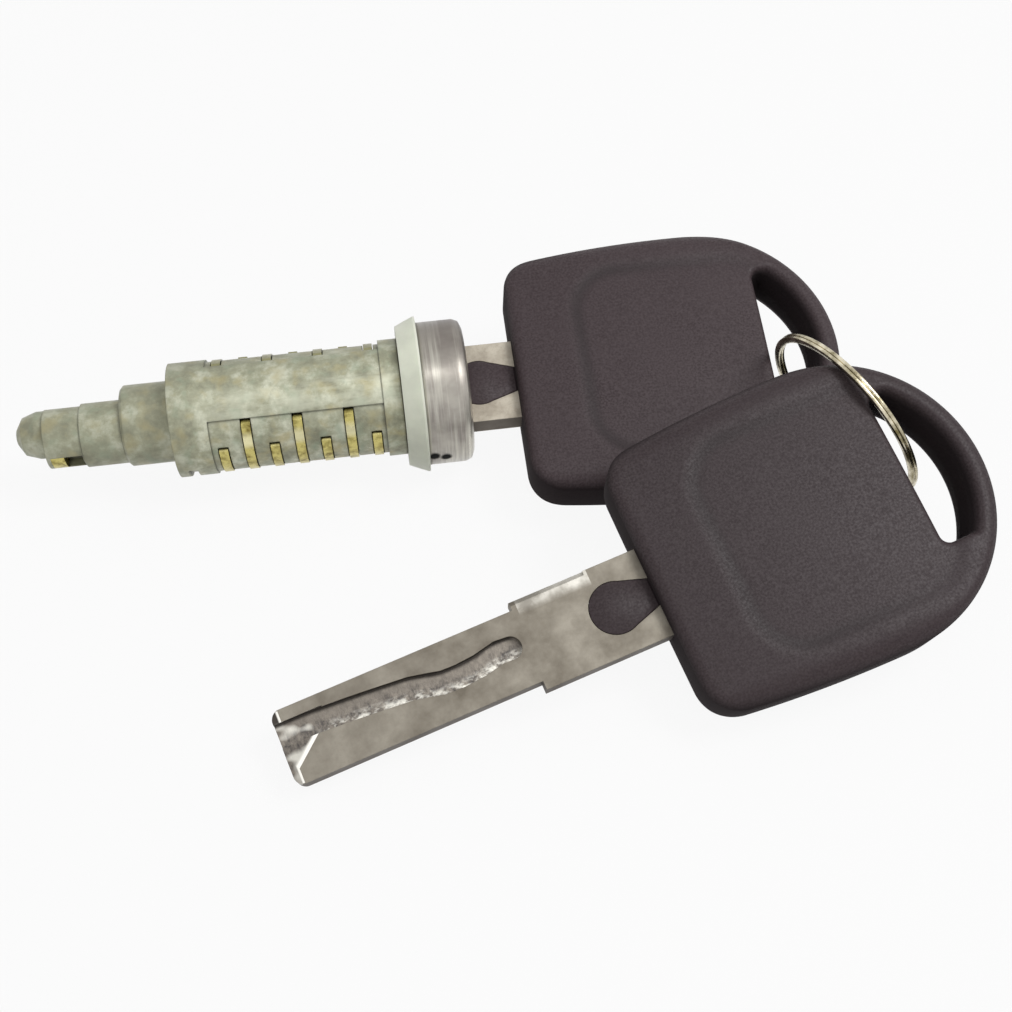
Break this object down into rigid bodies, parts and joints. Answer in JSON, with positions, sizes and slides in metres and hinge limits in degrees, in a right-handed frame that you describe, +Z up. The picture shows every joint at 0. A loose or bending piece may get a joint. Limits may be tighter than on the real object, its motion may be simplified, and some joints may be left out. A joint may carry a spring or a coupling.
{
  "type": "wafer lock cylinder core with two keys on a split ring",
  "caption": "Wafer lock core with a cast plug, steel face cap and lip seal, a key in its keyway and a second key linked to it by a split ring.",
  "frame": {"origin": "on the plug's axis, inside the rear spigot, level with the tip of the key that is fully in", "axes": "+X along the plug's axis from the tail to the key's head, +Z up, with the set lying on a floor parallel to XY"},
  "size_m": [0.1177, 0.0693, 0.0244],
  "materials": {
    "zinc": "satin",
    "brass": "satin",
    "steel": "satin",
    "seal": "satin",
    "spring": "satin",
    "nickel": "satin",
    "moulding": "matte",
    "ring_wire": "polished"
  },
  "bodies": {
    "lock": {"plug": "zinc", "tail_insert": "brass", "face_cap": "steel", "lip_ring": "seal"},
    "wafer_1_body": {"wafer_1": "brass", "wafer_spring_1": "spring"},
    "wafer_2_body": {"wafer_2": "brass", "wafer_spring_2": "spring"},
    "wafer_3_body": {"wafer_3": "brass", "wafer_spring_3": "spring"},
    "wafer_4_body": {"wafer_4": "brass", "wafer_spring_4": "spring"},
    "wafer_5_body": {"wafer_5": "brass", "wafer_spring_5": "spring"},
    "wafer_6_body": {"wafer_6": "brass", "wafer_spring_6": "spring"},
    "wafer_7_body": {"wafer_7": "brass", "wafer_spring_7": "spring"},
    "key_1": {"key_1_blade": "nickel", "key_1_head": "moulding"},
    "key_ring": {"key_ring": "ring_wire"},
    "key_2": {"key_2_blade": "nickel", "key_2_head": "moulding"}
  },
  "joints": [
    {"name": "wafer_1_slide", "type": "slide", "parent": "lock", "child": "wafer_1_body", "axis": [0, -0.9659, -0.2588], "range_m": [0, 0.0003], "stiffness_N_per_m": 150},
    {"name": "wafer_2_slide", "type": "slide", "parent": "lock", "child": "wafer_2_body", "axis": [0, 0.9659, 0.2588], "range_m": [0, 0.0003], "stiffness_N_per_m": 150},
    {"name": "wafer_3_slide", "type": "slide", "parent": "lock", "child": "wafer_3_body", "axis": [0, -0.9659, -0.2588], "range_m": [0, 0.0003], "stiffness_N_per_m": 150},
    {"name": "wafer_4_slide", "type": "slide", "parent": "lock", "child": "wafer_4_body", "axis": [0, 0.9659, 0.2588], "range_m": [0, 0.0003], "stiffness_N_per_m": 150},
    {"name": "wafer_5_slide", "type": "slide", "parent": "lock", "child": "wafer_5_body", "axis": [0, -0.9659, -0.2588], "range_m": [0, 0.0003], "stiffness_N_per_m": 150},
    {"name": "wafer_6_slide", "type": "slide", "parent": "lock", "child": "wafer_6_body", "axis": [0, 0.9659, 0.2588], "range_m": [0, 0.0003], "stiffness_N_per_m": 150},
    {"name": "wafer_7_slide", "type": "slide", "parent": "lock", "child": "wafer_7_body", "axis": [0, -0.9659, -0.2588], "range_m": [0, 0.0003], "stiffness_N_per_m": 150},
    {"name": "key_1_draw", "type": "slide", "parent": "lock", "child": "key_1", "axis": [1, 0, 0], "range_m": [0, 0.042]},
    {"name": "ring_swing", "type": "hinge", "parent": "key_1", "child": "key_ring", "pos_m": [0.0856, -0.00773, -0.00207], "axis": [0.4801, 0.8473, 0.227], "range_deg": [0, 50]},
    {"name": "key_2_travel", "type": "hinge", "parent": "key_ring", "child": "key_2", "pos_m": [0.08675, -0.0132, 0.0021], "axis": [0.8495, 0.4499, 0.2755], "range_deg": [0, 75]}
  ]
}
